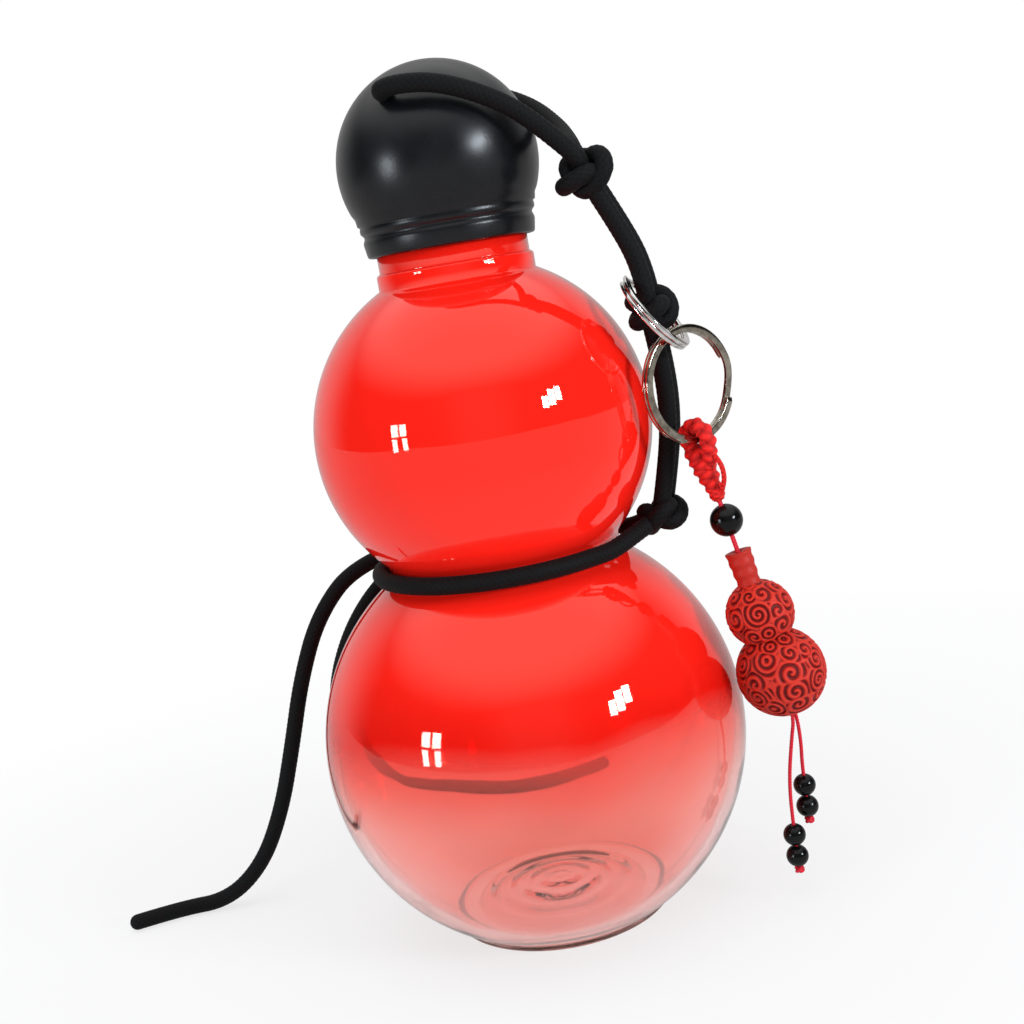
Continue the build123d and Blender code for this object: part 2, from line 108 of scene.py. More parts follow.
cap_cord_route = [
    (33.4, -23.4, 214.1), (27.5, -23.0, 220.8), (18.5, -24.6, 228.5), (4.0, -27.4, 235.2),
    (-8.0, -25.6, 236.8), (-13.6, -20.0, 235.6), (13.6, 20.0, 235.6), (20.8, 19.6, 234.6),
    (29.0, 11.0, 229.0), (33.6, -1.0, 222.0), (35.0, -11.2, 217.4), (35.1, -17.6, 214.9),
]
upper_tether_route = [
    (39.1, -19.6, 204.2), (45.3, -18.7, 191.2), (48.7, -17.6, 181.4), (49.4, -17.1, 174.9),
]
lower_tether_route = [
    (49.8, -15.9, 165.8), (51.3, -12.7, 155.0), (51.6, -11.0, 142.0), (49.6, -10.6, 129.0),
    (45.8, -11.5, 115.9),
]
left_tail_route = [
    (-30.6, 35.2, 107.4), (-46.0, 32.0, 105.5), (-60.0, 30.0, 92.0), (-69.0, 29.5, 73.0),
    (-76.0, 30.5, 52.0), (-83.5, 32.5, 31.5), (-93.5, 35.0, 13.5), (-107.0, 37.0, 2.7),
    (-123.0, 36.5, 2.7), (-138.0, 31.0, 2.7),
]
back_tail_route = [
    (-27.8, 39.2, 105.4), (-40.0, 44.0, 96.5), (-51.5, 46.0, 84.0), (-60.0, 52.0, 68.0),
    (-65.0, 64.0, 51.0), (-67.0, 80.0, 34.0), (-65.0, 95.5, 18.5), (-58.0, 107.5, 6.5),
    (-45.0, 108.5, 2.7), (-29.5, 98.5, 2.7), (-12.0, 89.5, 2.7), (8.0, 90.0, 2.7), (26.0, 101.0, 2.7),
]

# Two bodies and two heights for a cord that runs from one body to the next; the script bakes such a cord in
# place and uses neither
cap_cord_blend = ("tether_top", "cap", mm(0, 0, 214), mm(0, 0, 229))
upper_tether_blend = ("tether_top", "harness", mm(0, 0, 202), mm(0, 0, 176))

# Split rings
chain_azimuth = -19.9
small_ring_radius, small_ring_out, small_ring_height, small_ring_dip = 12.5, 53.6, 168.6, 56.6
key_ring_radius, key_ring_azimuth, link_gap = 16.0, 35.0, 1.35
wire_width, wire_thickness, wire_corner = 2.2, 2.4, 0.32
coil_bridge, coil_gap, coil_clearance, wire_end_gap = 40.0, 0.08, 0.02, 0.5

# Charm
charm_tilt = 11.6
gather_radius, gather_drop, gather_ball_radius, gather_ball_drop = 3.2, 15.6, 2.304, 16.0
gather_relief = 0.4
thread_radius, thread_offset, bead_play = 0.55, 0.62, 0.3
bead_radius, bead_drop = 4.5, 23.6
pendant_drop, pendant_neck_radius, pendant_neck_waist = 32.8, 3.7, 3.2
pendant_upper_radius, pendant_upper_drop = 9.4, 50.9
pendant_lower_radius, pendant_lower_drop, pendant_foot_drop = 12.3, 68.2, 79.4
pendant_bore, pendant_bore_depth = 1.1, 4.0
neck_ring_rise, neck_ring_inset, neck_rings = 0.13, 0.1, 3
carving_depth, carving_top_fade, carving_foot_fade = 0.7, 1.5, 1.2
small_bead_radius, small_bead_gap = 3.1, 0.1
stop_knot_form, stop_knot_thread = (0.676, 0.286, 0.468, 1.0, 1.0, 0, 180), 0.546
right_bead_top, left_bead_top = 32.2, 19.8
right_thread_route = [(76.2, 1.2, 46.0), (75.2, 2.8, 37.0), (75.2, 2.8, 21.8)]
left_thread_route = [(73.8, -1.2, 46.0), (72.0, -2.0, 36.0), (71.4, -2.5, 25.0), (71.4, -2.5, 9.4)]

# The braid over the key ring, as (across, height) in its plane, and its radius at shares of its length
braid_route = [
    (0.2, -17.2), (-0.4, -13.5), (-0.9, -9.0), (-1.8, -5.2), (-3.7, -1.6), (-3.3, 2.3), (0.0, 4.0),
    (3.5, 2.3), (3.9, -1.4), (2.4, -4.8), (0.9, -8.2),
]
braid_shares = [0, 0.1, 0.22, 0.34, 0.44, 0.88, 1.0]
braid_radii = [1.6, 2.7, 3.5, 3.4, 2.5, 2.45, 2.0]
braid_side_route = [(3.6, -4.4), (5.4, -7.2), (5.5, -10.6), (4.0, -13.8), (0.9, -16.8)]
braid_side_radius = 0.75

# Stage, in metres, watts and degrees
floor_half_size = 6.0
lamp_target = mm(0, 0, 110)
lamp_colour = (0.84, 0.92, 1.0)
white = (1, 1, 1, 1)

# A lamp's direction from the bottle, distance, energy, lean and panes (across, up, width, height)
lamps = {
    "window_left": ((-0.826, -0.548, 0.132), 1.3, 4.5, 4.0, [
        (-0.07, 0.09, 0.11, 0.15), (0.07, 0.09, 0.11, 0.15), (-0.085, -0.10, 0.08, 0.17),
        (0.085, -0.10, 0.08, 0.17),
    ]),
    "window_right": ((0.728, -0.623, 0.286), 1.3, 10.0, -12.0, [
        (-0.12, -0.06, 0.09, 0.16), (-0.01, 0.0, 0.10, 0.22), (0.10, 0.05, 0.09, 0.18),
    ]),
    "ceiling": ((-0.1, -0.25, 1.0), 1.5, 7.5, 0.0, [(0, 0, 1.1, 1.1)]),
}


def reach(radius, offset):
    """Half the chord of a circle at an offset from its centre."""
    return sqrt(radius**2 - offset**2)


def bearing(azimuth):
    """The level direction at an azimuth in degrees."""
    return Vector((cos(radians(azimuth)), sin(radians(azimuth)), 0))


def polar(out, azimuth, height):
    """A point by its distance from the bottle's axis, its azimuth and its height."""
    return bearing(azimuth) * out + UP * height


def circle(count):
    """Angles spread evenly round a turn."""
    return np.linspace(0, 2 * pi, count, endpoint=False)


def eased(share):
    """A share from 0 to 1 that starts and ends gently."""
    return share * share * (3 - 2 * share)


def waist_centre():
    """Centre (radius, height) of the round that joins the two bulbs."""
    spacing = upper_height - lower_height
    to_lower = lower_radius + waist_fillet
    to_upper = upper_radius + waist_fillet
    rise = (spacing**2 + to_lower**2 - to_upper**2) / (2 * spacing)
    return (reach(to_lower, rise), lower_height + rise)


shoulder_height = upper_height + reach(upper_radius, collar_radius)
collar_top = shoulder_height + collar_length
neck_top = collar_top + neck_length
lip_top = neck_top + finish_length
rim_height = neck_top - rim_overlap
dome_height = rim_height + cap_rise
cap_bore = insert_bore + insert_wall + insert_fit
rim_radius = cap_bore + rim_wall
waist_radius, waist_height = waist_centre()
waist_knot = polar(waist_knot_out, waist_knot_azimuth, waist_knot_height)
back_knot = polar(back_knot_out, back_knot_azimuth, waist_height)


# Nodes

def node(tree, kind, sources=None, **settings):
    """A node; an input takes a plain value or another node's output."""
    made = tree.nodes.new(kind)
    for key, value in settings.items():
        setattr(made, key, value)
    for key, source in (sources or {}).items():
        if isinstance(source, bpy.types.NodeSocket):
            tree.links.new(source, made.inputs[key])
        else:
            made.inputs[key].default_value = source
    return made


def maths(tree, operation, *sources):
    """The result of a maths node."""
    return node(tree, "ShaderNodeMath", dict(enumerate(sources)), operation=operation).outputs[0]


def mapped(tree, source, reading, result=(0.0, 1.0), kind="LINEAR"):
    """A source's reading mapped to a result that stays at its ends beyond them."""
    values = zip(("Value", "From Min", "From Max", "To Min", "To Max"), (source, *reading, *result))
    return node(tree, "ShaderNodeMapRange", dict(values), interpolation_type=kind).outputs["Result"]


def ramp(tree, source, stops):
    """A colour ramp; a stop is a position with a grey or a colour."""
    made = node(tree, "ShaderNodeValToRGB", {"Fac": source})
    elements = made.color_ramp.elements
    while len(elements) < len(stops):
        elements.new(0.5)
    for element, (position, *colour) in zip(elements, stops):
        element.position = position
        element.color = (*(colour * 3 if len(colour) == 1 else colour), 1.0)
    return made.outputs["Color"]


def noise(tree, scale, detail=3.0, roughness=0.5):
    """Noise in metres, fixed to the piece."""
    place = node(tree, "ShaderNodeTexCoord").outputs["Object"]
    values = {"Vector": place, "Scale": scale, "Detail": detail, "Roughness": roughness}
    return node(tree, "ShaderNodeTexNoise", values).outputs["Fac"]


def mixed(tree, share, first, second):
    """Two shaders mixed by a share."""
    sources = {"Fac": share, 1: first.outputs[0], 2: second.outputs[0]}
    return node(tree, "ShaderNodeMixShader", sources).outputs[0]


# Materials

def new_material(name, **values):
    """A material, its nodes and its Principled shader; values name its inputs, with _ for a space."""
    made = bpy.data.materials.new(name)
    made.use_nodes = True
    shader = made.node_tree.nodes["Principled BSDF"]
    for key, value in values.items():
        shader.inputs[key.replace("_", " ")].default_value = value
    return made, made.node_tree, shader


def paint(tree, shader, source, stops, socket="Base Color"):
    """A ramp from a source to one of the shader's inputs."""
    tree.links.new(ramp(tree, source, stops), shader.inputs[socket])


def add_bump(tree, shader, height, distance, strength):
    bump = node(tree, "ShaderNodeBump", {"Height": height, "Distance": distance, "Strength": strength})
    tree.links.new(bump.outputs["Normal"], shader.inputs["Normal"])


def glass_material():
    """Clear glass under a glossy red coat that thins from the belly down; the pink below the coat is partly
    the faint coat and partly painted reflection of the red coat.
    """
    made, tree, shader = new_material(
        "red_glass", Roughness=0.03, IOR=1.5, Specular_Tint=(1.0, 0.90, 0.66, 1.0), Coat_Weight=0.35,
        Coat_Roughness=0.02,
    )
    coat_edge, drift = 0.1, 0.022
    place = node(tree, "ShaderNodeTexCoord").outputs["Object"]
    height = node(tree, "ShaderNodeSeparateXYZ", {"Vector": place}).outputs["Z"]
    uneven = maths(tree, "MULTIPLY", maths(tree, "SUBTRACT", noise(tree, 14.0, 2.0), 0.5), drift)
    share = mapped(tree, maths(tree, "ADD", height, uneven), (0.0, coat_edge))
    # Painted reflection, in part: the pink tint below the coat, deeper again at the foot, stands partly for
    # red light from the coat.
    paint(tree, shader, share, [
        (0.0, 0.88, 0.31, 0.26), (0.12, 0.98, 0.51, 0.47), (0.30, 1.0, 0.63, 0.61),
        (0.44, 1.0, 0.46, 0.41), (0.56, 1.0, 0.20, 0.16), (0.68, 0.96, 0.014, 0.007),
    ])
    clear = [(0.0, 1.0), (0.40, 0.98), (0.56, 0.90), (0.66, 0.60), (0.76, 0.14), (0.84, 0.0)]
    paint(tree, shader, share, clear, "Transmission Weight")
    add_bump(tree, shader, noise(tree, 60.0, 1.0), distance=0.0006, strength=0.25)
    return made


def worn_material(name, wear, shades, roughness=None, grain=None, **values):
    """A finish whose shade and roughness follow its wear, a noise."""
    made, tree, shader = new_material(name, **values)
    uneven = noise(tree, *wear)
    paint(tree, shader, uneven, shades)
    if roughness:
        paint(tree, shader, uneven, roughness, "Roughness")
    if grain:
        add_bump(tree, shader, noise(tree, grain, 2.0), distance=0.00004, strength=0.5)
    return made


def steel_material(name, dull, bright):
    """Nickel with fine wear; the dull and bright levels given for each ring are painted reflection."""
    shades = [(0.35, *dull), (0.65, *bright)]
    return worn_material(name, (420.0, 5.0, 0.6), shades, [(0.3, 0.07), (0.7, 0.17)], Metallic=1.0)


def relief_shade_material(name, shades, fuzz, **values):
    """A finish with painted shade in its recesses and painted highlight on its crowns, by the mesh's relief
    attribute.
    """
    made, tree, shader = new_material(name, **values)
    paint(tree, shader, node(tree, "ShaderNodeAttribute", attribute_name="relief").outputs["Fac"], shades)
    add_bump(tree, shader, noise(tree, fuzz, 4.0), distance=0.00008, strength=0.6)
    return made


def yarn_material(name, deep, crown, sheen, roughness, fuzz):
    """Yarn with painted shade between its crowns; deep is the shaded colour and crown the colour of the
    crowns.
    """
    return relief_shade_material(
        name, [(0.0, *deep), (1.0, *crown)], fuzz, Roughness=roughness, Specular_IOR_Level=0.15,
        Sheen_Weight=sheen, Sheen_Roughness=0.4,
    )


glass = glass_material()
cap_black = worn_material(
    "cap_black", (90.0, 4.0), [(0.3, 0.004, 0.0042, 0.005), (0.7, 0.007, 0.0075, 0.009)],
    [(0.3, 0.25), (0.7, 0.32)], grain=2600.0, Specular_IOR_Level=0.36,
)
insert_black = worn_material("insert_black", (150.0,), [(0.3, 0.018), (0.7, 0.03)], Roughness=0.35)
silicone = worn_material(
    "seal_silicone", (200.0,), [(0.3, 0.74, 0.74, 0.72), (0.7, 0.84, 0.84, 0.82)], Roughness=0.5,
    Subsurface_Weight=0.3, Subsurface_Radius=(0.002, 0.002, 0.002),
)
black_bead = worn_material(
    "black_bead", (300.0, 4.0), [(0.3, 0.002), (0.7, 0.005)], [(0.35, 0.10), (0.7, 0.22)],
    Specular_IOR_Level=0.24,
)
# Both rings are the same nickel: the key ring's darker steel is painted shade for dark reflections, and the
# small ring's paler steel is painted reflection.
painted_shade_steel = steel_material("ring_steel", (0.24, 0.21, 0.17), (0.54, 0.49, 0.41))
painted_reflection_steel = steel_material("ring_steel_painted_reflection", (0.70, 0.69, 0.67), (0.96, 0.95, 0.93))
# These ramps are painted shade: their first colour darkens the recesses, and their last lightens the crowns
# as painted highlight.
black_yarn = yarn_material("black_cord", (0.001, 0.001, 0.001), (0.006, 0.006, 0.0065), 0.02, 0.7, 5000.0)
red_yarn = yarn_material("red_braid", (0.20, 0.002, 0.003), (0.86, 0.020, 0.016), 0.08, 0.5, 4000.0)
red_thread = yarn_material("red_thread", (0.42, 0.006, 0.012), (0.78, 0.025, 0.05), 0.05, 0.5, 4000.0)
cinnabar = relief_shade_material(
    "cinnabar", [(0.0, 0.13, 0.003, 0.002), (0.4, 0.32, 0.008, 0.006), (1.0, 0.60, 0.026, 0.012)], 2200.0,
    Roughness=0.5, Specular_IOR_Level=0.25,
)


# Meshes

def add_object(name, data, material=None):
    made = bpy.data.objects.new(name, data)
    bpy.context.scene.collection.objects.link(made)
    if material is not None:
        data.materials.append(material)
    return made


def evaluated_mesh(source):
    """The mesh of a curve, or of an object with its modifiers applied."""
    bpy.context.view_layer.update()
    return bpy.data.meshes.new_from_object(source.evaluated_get(bpy.context.evaluated_depsgraph_get()))


def mesh_object(name, points, faces, material, relief=None):
    """A smooth mesh from points in millimetres and a list of faces."""
    data = bpy.data.meshes.new(name)
    data.from_pydata((np.asarray(points) * MM).tolist(), [], faces)
    data.validate()
    data.polygons.foreach_set("use_smooth", [True] * len(data.polygons))
    # The relief attribute also drives painted shade in recesses and painted highlight on crowns.
    if relief is not None:
        attribute = data.attributes.new("relief", "FLOAT", "POINT")
        attribute.data.foreach_set("value", np.asarray(relief, np.float32))
    data.update()
    return add_object(name, data, material)


def declare(made, body, slot, *nodes):
    """Attaches a piece to its body's empty, or bakes its transform in place where a blend is given, and
    hides the nodes it replaces; the slot is not used.
    """
    if isinstance(body, tuple):
        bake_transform(made)
    else:
        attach(made, body)
    if nodes:
        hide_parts(*nodes)
    return made


def grid_faces(rows, columns, closed_rows=False, ends=False):
    """Quads over a grid that closes round its columns; ends covers its first and last row."""
    faces = []
    for i in range(rows if closed_rows else rows - 1):
        below = (i + 1) % rows
        for j in range(columns):
            beside = (j + 1) % columns
            corners = ((i, j), (i, beside), (below, beside), (below, j))
            faces.append(tuple(row * columns + column for row, column in corners))
    if ends:
        faces.append(tuple(range(columns))[::-1])
        faces.append(tuple(range((rows - 1) * columns, rows * columns)))
    return faces


def arc(start, end, centre, radius, step):
    """Points of the short arc from start to end, start left out."""
    first = atan2(start[1] - centre[1], start[0] - centre[0])
    last = atan2(end[1] - centre[1], end[0] - centre[0])
    turn = (last - first + pi) % (2 * pi) - pi
    count = max(2, int(abs(turn) * radius / step))
    angles = [first + turn * (k + 1) / count for k in range(count)]
    return [(centre[0] + radius * cos(a), centre[1] + radius * sin(a)) for a in angles]


def top_round(radius, height, size):
    """The side and the round of an outer top corner."""
    side, centre = (radius, height - size), (radius - size, height - size)
    return [side] + arc(side, (radius - size, height), centre, size, lip_step)


def toward(start, end, distance):
    """The point at a distance from start on the line to end."""
    dx, dy = end[0] - start[0], end[1] - start[1]
    size = hypot(dx, dy)
    return (start[0] + dx / size * distance, start[1] + dy / size * distance)


def revolved(name, profile, material, segments):
    """A closed profile turned about Z; a point on the axis becomes one vertex."""
    points, rings, faces = [], [], []
    for radius, height in profile:
        count = 1 if radius < 1e-6 else segments
        rings.append([len(points) + k % count for k in range(segments)])
        for k in range(count):
            angle = 2 * pi * k / segments
            points.append((radius * cos(angle), radius * sin(angle), height))
    for low, high in zip(rings, rings[1:] + rings[:1]):
        for k in range(segments):
            n = (k + 1) % segments
            corners = list(dict.fromkeys((low[k], low[n], high[n], high[k])))
            if len(corners) > 2:
                faces.append(corners)
    return mesh_object(name, points, faces, material)


# Flask

def bulb_wall(inset, foot, shoulder):
    """The gourd's side from foot to shoulder, set in from the outer surface."""
    lower, upper, hollow = (0, lower_height), (0, upper_height), (waist_radius, waist_height)
    low, high = lower_radius - inset, upper_radius - inset
    low_joint, high_joint = toward(lower, hollow, low), toward(upper, hollow, high)
    low_side, high_side = (low, lower_height), (high, upper_height)
    points = [foot]
    points += arc(foot, low_side, lower, low, wall_step)
    points += arc(low_side, low_joint, lower, low, wall_step)
    points += arc(low_joint, high_joint, hollow, waist_fillet + inset, wall_step / 3)
    points += arc(high_joint, high_side, upper, high, wall_step)
    points += arc(high_side, shoulder, upper, high, wall_step)
    return points


def flask_outside():
    """The flask's outer outline, from the foot ring to the lip."""
    heel = (heel_radius, lower_height - reach(lower_radius, heel_radius))
    heel_flat = heel_radius - heel_round
    points = [(foot_inner_radius, 0.0), (heel_flat, 0.0)]
    points += arc(points[-1], (heel_radius, heel_round), (heel_flat, heel_round), heel_round, heel_step)
    points += bulb_wall(0, heel, (collar_radius, shoulder_height))
    points += top_round(collar_radius, collar_top, collar_round)
    neck_foot = [(0.25, 0.05), (0.0, 0.3)]
    points += [(neck_radius + out, collar_top + up) for out, up in neck_foot]
    points += [(neck_radius, neck_top), (finish_radius, neck_top + finish_step)]
    return points + top_round(finish_radius, lip_top, lip_round)


def flask_inside():
    """The flask's inner outline, from the mouth to the rippled floor's middle."""
    inner_upper = upper_radius - glass_wall
    span = mouth_radius + inner_shoulder_fillet
    round_centre = (span, upper_height + reach(inner_upper + inner_shoulder_fillet, span))
    neck_end = (mouth_radius, round_centre[1])
    shoulder = toward((0, upper_height), round_centre, inner_upper)
    edge = heel_radius - glass_wall
    edge_height = lower_height - reach(lower_radius - glass_wall, edge)
    points = [(mouth_radius, lip_top), neck_end]
    points += arc(neck_end, shoulder, round_centre, inner_shoulder_fillet, shoulder_step)
    points += bulb_wall(glass_wall, (edge, edge_height), shoulder)[::-1]
    floor_rise = punt_rise + base_thickness - edge_height
    rings = 40
    for k in range(1, rings + 1):
        share = k / rings
        ripple = base_swirl * sin(share * base_swirls * 2 * pi) * sin(pi * share)
        points.append((edge * (1 - share), edge_height + floor_rise * eased(share) + ripple))
    return points


def flask():
    """The blown flask, with its foot ring, raised base, collar, neck and lip."""
    rings = 24
    under = [(foot_inner_radius * k / rings, punt_rise * (1 - (k / rings) ** 2)) for k in range(rings)]
    made = revolved("flask_glass", flask_outside() + flask_inside() + under, glass, segments=320)
    declare(made, "bottle", "red_glass", "flask_lower_bulb", "flask_upper_bulb", "flask_neck")


def neck_thread():
    """The moulded thread on the glass finish, under the cap."""
    steps, fade_rate = 220, 14
    half, crown = glass_thread_width / 2, glass_thread_width / 5
    points = []
    for k in range(steps + 1):
        share = k / steps
        angle = 2 * pi * glass_thread_turns * share
        rise = glass_thread_rise * min(1.0, share * fade_rate, (1 - share) * fade_rate)
        height = neck_top + glass_thread_start + glass_thread_lead * glass_thread_turns * share
        section = ((glass_thread_root, -half), (rise, -crown), (rise, crown), (glass_thread_root, half))
        for out, up in section:
            radius = finish_radius + out
            points.append((radius * cos(angle), radius * sin(angle), height + up))
    made = mesh_object("neck_thread", points, grid_faces(steps + 1, 4, ends=True), glass)
    declare(made, "bottle", "red_glass")


# Cap

def skirt():
    """The skirt's outline, in steps from the corners of its bands."""
    band_top = rim_height + band_height
    groove_top = band_top + groove_height
    upper_top = groove_top + upper_band_height
    band = rim_radius + band_rise
    upper_band = band + upper_band_rise
    skirt_top = dome_height - reach(cap_dome_radius, skirt_top_radius)
    corners = [
        (rim_radius, rim_height, [(-0.9, 0.0), (-0.35, 0.15), (-0.08, 0.5), (0.05, 1.1)]),
        (band, band_top, [(-0.15, -1.4), (-0.2, -0.8), (-0.4, -0.3), (-0.58, 0.1), (-0.62, 0.45)]),
        (band, groove_top, [(-0.55, -0.1), (-0.25, 0.25)]),
        (upper_band, groove_top, [(-0.12, 0.7), (0.0, 1.3)]),
        (upper_band, upper_top, [(-0.05, -0.7), (-0.2, -0.2)]),
        (skirt_top_radius, upper_top, [(-0.25, 0.3)]),
        (skirt_top_radius, skirt_top, [(0.0, 0.4)]),
    ]
    points = [(radius + out, height + up) for radius, height, steps in corners for out, up in steps]
    return [(cap_bore, rim_height)] + points


def cap_ball():
    """The ball cap: banded skirt, dome, hollow inside, and the tunnel for the cord."""
    centre, side = (0, dome_height), (cap_dome_radius, dome_height)
    top, inner_top = (0.0, dome_height + cap_dome_radius), (0.0, dome_height + cap_dome_radius - cap_wall)
    inner = cap_dome_radius - cap_wall
    inner_edge = (cap_bore, dome_height + reach(inner, cap_bore))
    profile = skirt()
    profile += arc(profile[-1], side, centre, cap_dome_radius, dome_step)[1:]
    profile += arc(side, top, centre, cap_dome_radius, dome_step)[:-1] + [top, inner_top]
    profile += arc(inner_edge, inner_top, centre, inner, dome_inner_step)[-2::-1] + [inner_edge]
    made = revolved("cap_ball", profile, cap_black, segments=256)
    cutter = tunnel_cutter()
    cut = made.modifiers.new("tunnel", "BOOLEAN")
    cut.operation = "DIFFERENCE"
    cut.solver = "EXACT"
    cut.object = cutter
    shape = evaluated_mesh(made)
    made.modifiers.clear()
    made.data = shape
    bpy.data.objects.remove(cutter)
    declare(made, "cap", "cap_plastic", "cap_shell")


def tunnel_cutter():
    """A plain closed rod along the cord's tunnel."""
    sides = 48
    along = bearing(tunnel_azimuth)
    side = along.cross(UP)
    points = []
    for place in (along * -tunnel_reach, along * tunnel_reach):
        for angle in circle(sides):
            p = place + side * cos(angle) * tunnel_bore + UP * sin(angle) * tunnel_bore
            points.append((p.x, p.y, p.z + dome_height + tunnel_rise))
    return mesh_object("tunnel_cutter", points, grid_faces(2, sides, ends=True), None)


# Cords

def run_along(path):
    """The length along a polyline at each of its points."""
    return np.concatenate([[0], np.cumsum(np.linalg.norm(np.diff(path, axis=0), axis=1))])


def smooth_path(route, spacing=cord_step):
    """Evenly spaced points along the NURBS spline that has the route as its control points."""
    data = bpy.data.curves.new("route", "CURVE")
    data.dimensions = "3D"
    data.resolution_u = 24
    spline = data.splines.new("NURBS")
    spline.points.add(len(route) - 1)
    for point, place in zip(spline.points, route):
        point.co = (*(Vector(place) * MM), 1.0)
    spline.order_u = 3
    spline.use_endpoint_u = True
    holder = add_object("route", data)
    line = evaluated_mesh(holder)
    raw = np.array([v.co for v in line.vertices]) / MM
    bpy.data.objects.remove(holder)
    bpy.data.meshes.remove(line)
    steps = np.linalg.norm(np.diff(raw, axis=0), axis=1)
    raw = raw[np.concatenate([[True], steps > 1e-6])]
    run = run_along(raw)
    at = np.linspace(0, run[-1], max(8, int(round(run[-1] / spacing))) + 1)
    return np.stack([np.interp(at, run, raw[:, k]) for k in range(3)], 1)


def path_normals(path, closed):
    """Two normals at each point, which turn as little as they can along the path."""
    tangents = np.roll(path, -1, 0) - np.roll(path, 1, 0) if closed else np.gradient(path, axis=0)
    tangents /= np.linalg.norm(tangents, axis=1)[:, None]
    helper = np.array([0.0, 0.0, 1.0]) if abs(tangents[0][2]) < 0.9 else np.array([1.0, 0.0, 0.0])
    normal = np.cross(tangents[0], helper)
    normals = [normal / np.linalg.norm(normal)]
    for t in tangents[1:]:
        normal = normals[-1] - t * (normals[-1] @ t)
        normals.append(normal / np.linalg.norm(normal))
    normals = np.array(normals)
    if closed:
        twist = atan2(np.cross(normals[-1], normals[0]) @ tangents[0], normals[-1] @ normals[0])
        turn = np.linspace(0, twist, len(path), endpoint=False)[:, None]
        normals = normals * np.cos(turn) + np.cross(tangents, normals) * np.sin(turn)
    return normals, np.cross(tangents, normals)


def braid_height(along, around, carriers, pitch):
    """How far a braid stands out, 0 to 1, at a length along it and an angle round it."""
    turn = carriers * around / (2 * pi)
    a, b = turn + along / pitch, turn - along / pitch
    wave_a, wave_b = np.sin(pi * (a - np.floor(a))), np.sin(pi * (b - np.floor(b)))
    parity = np.where((np.floor(a) + np.floor(b)) % 2 == 0, 1.0, -1.0)
    over = 0.4 * parity * wave_a * wave_b
    return np.maximum(np.sqrt(wave_a) * (0.6 + over), np.sqrt(wave_b) * (0.6 - over))


def braid_arrays(path, radius, closed=False, sides=40, carriers=8, pitch=1.7, relief=0.16, round_end=False):
    """Points, faces and relief of a braided cord; its radius may change along its path."""
    radius = np.broadcast_to(np.asarray(radius, float), (len(path),))[:, None]
    normals, seconds = path_normals(path, closed)
    run = run_along(path)
    if closed:
        total = run[-1] + np.linalg.norm(path[0] - path[-1])
        pitch = total / (2 * round(total / pitch / 2))
    along, around = np.meshgrid(run, circle(sides), indexing="ij")
    height = braid_height(along, around, carriers, pitch)
    out = radius - relief * (1 - height)
    if round_end:
        tip = 0.15
        left = np.clip((run[-1] - run)[:, None] / radius, 0, 1)
        out = np.maximum(out * np.sqrt(1 - (1 - left) ** 2), tip)
    across, aside = np.cos(around)[..., None], np.sin(around)[..., None]
    ring = across * normals[:, None, :] + aside * seconds[:, None, :]
    points = (path[:, None, :] + ring * out[..., None]).reshape(-1, 3)
    return points, grid_faces(len(path), sides, closed, ends=not closed), height.reshape(-1)


def joined(name, pieces, material):
    """One mesh of several (points, faces, relief) pieces."""
    start, faces = 0, []
    for points, own_faces, _ in pieces:
        faces += [tuple(v + start for v in face) for face in own_faces]
        start += len(points)
    points, relief = (np.concatenate([piece[k] for piece in pieces]) for k in (0, 2))
    return mesh_object(name, points, faces, material, relief)


def black_cord(name, node_name, route, body="harness", round_end=False):
    """One free stretch of the black cord."""
    path = smooth_path(route)
    made = joined(name, [braid_arrays(path, cord_radius, round_end=round_end)], black_yarn)
    declare(made, body, "black_cord", node_name)


def strand_routes(route):
    """The two strands of a doubled cord, side by side."""
    aside = bearing(chain_azimuth).cross(-UP) * (cord_radius + pair_gap / 2)
    return [[tuple(Vector(p) + aside * side) for p in route] for side in (-1, 1)]


def knot_loop(centre, axis, form, count=260):
    """The closed path of a cord tied in a tight trefoil, leaned about its width."""
    major, minor, tall, across, deep, lean, phase = form
    t = circle(count)
    wide = major + minor * np.cos(3 * t)
    angle = 2 * t + radians(phase)
    side, front = wide * np.cos(angle) * across, wide * np.sin(angle) * deep
    rise = tall * np.sin(3 * t)
    c, s = cos(radians(lean)), sin(radians(lean))
    local = np.stack([side, front * c - rise * s, front * s + rise * c], 1)
    z = Vector(axis).normalized()
    x = z.cross(Vector((0, 1, 0))).normalized()
    return local @ np.array([x, z.cross(x), z]) + np.array(centre)


def tight_knot(node_name, body, centre, axis, form, strands):
    """A knot drawn tight, with its strands, each given by the last two points of its route."""
    loop = knot_loop(centre, axis, form)
    pieces = [braid_arrays(loop, cord_radius * knot_cord_share, closed=True, sides=36)]
    middle = Vector(centre)
    overlap, straight_share, turn_share = 0.3, 0.45, 0.75
    for before, last in strands:
        before, last = Vector(before), Vector(last)
        lead = (last - before).normalized()
        gap = (middle - last).length
        ends = [last - lead * overlap, last + lead * gap * straight_share]
        ends += [last.lerp(middle, turn_share), middle]
        pieces.append(braid_arrays(smooth_path(ends), cord_radius * knot_strand_share))
    declare(joined(node_name + "_tied", pieces, black_yarn), body, "black_cord", node_name)


